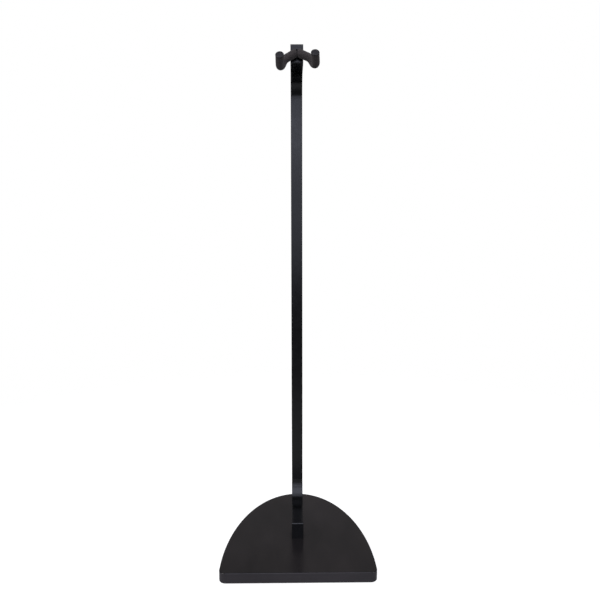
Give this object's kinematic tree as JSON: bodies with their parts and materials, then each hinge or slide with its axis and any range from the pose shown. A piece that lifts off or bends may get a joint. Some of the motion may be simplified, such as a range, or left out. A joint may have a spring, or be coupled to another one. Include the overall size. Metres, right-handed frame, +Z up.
{
  "type": "hanging instrument floor stand",
  "caption": "Free-standing hanger for a guitar or similar: D-shaped board, bent flat-bar post and a swivelling rubber-sleeved yoke that holds the neck.",
  "frame": {"origin": "on the floor under the middle of the base board", "axes": "+Z up along the post, -Y towards the front where the instrument hangs, +X to the right of someone facing the stand"},
  "size_m": [0.321, 0.346, 1.0709],
  "materials": {
    "board_lacquer": "black lacquer, semi-gloss",
    "powder_coat": "black powder coat, satin",
    "sleeve_rubber": "matt",
    "plug_plastic": "matt",
    "pad_rubber": "matt",
    "bearing_nylon": "smooth",
    "black_steel": "black oxide",
    "zinc_steel": "zinc plated"
  },
  "bodies": {
    "stand": {"base_board": "board_lacquer", "pad_front_left": "pad_rubber", "pad_front_right": "pad_rubber", "pad_rear_left": "pad_rubber", "pad_rear_right": "pad_rubber", "anchor_plate": "zinc_steel", "anchor_wood_screws": "zinc_steel", "bar_screws": "zinc_steel", "stem_bar": "powder_coat", "pivot_bush": "bearing_nylon", "thrust_washer": "bearing_nylon"},
    "yoke": {"pivot_stud": "black_steel", "yoke_rod": "black_steel", "sleeve_left": "sleeve_rubber", "sleeve_right": "sleeve_rubber", "end_plug_left": "plug_plastic", "end_plug_right": "plug_plastic", "wave_washer": "zinc_steel", "nut_washer": "zinc_steel", "lock_nut": "zinc_steel"}
  },
  "joints": [
    {"name": "yoke_swivel", "type": "hinge", "parent": "stand", "child": "yoke", "pos_m": [0, -0.0435, 1.0525], "axis": [0, -1, 0], "continuous": true}
  ]
}
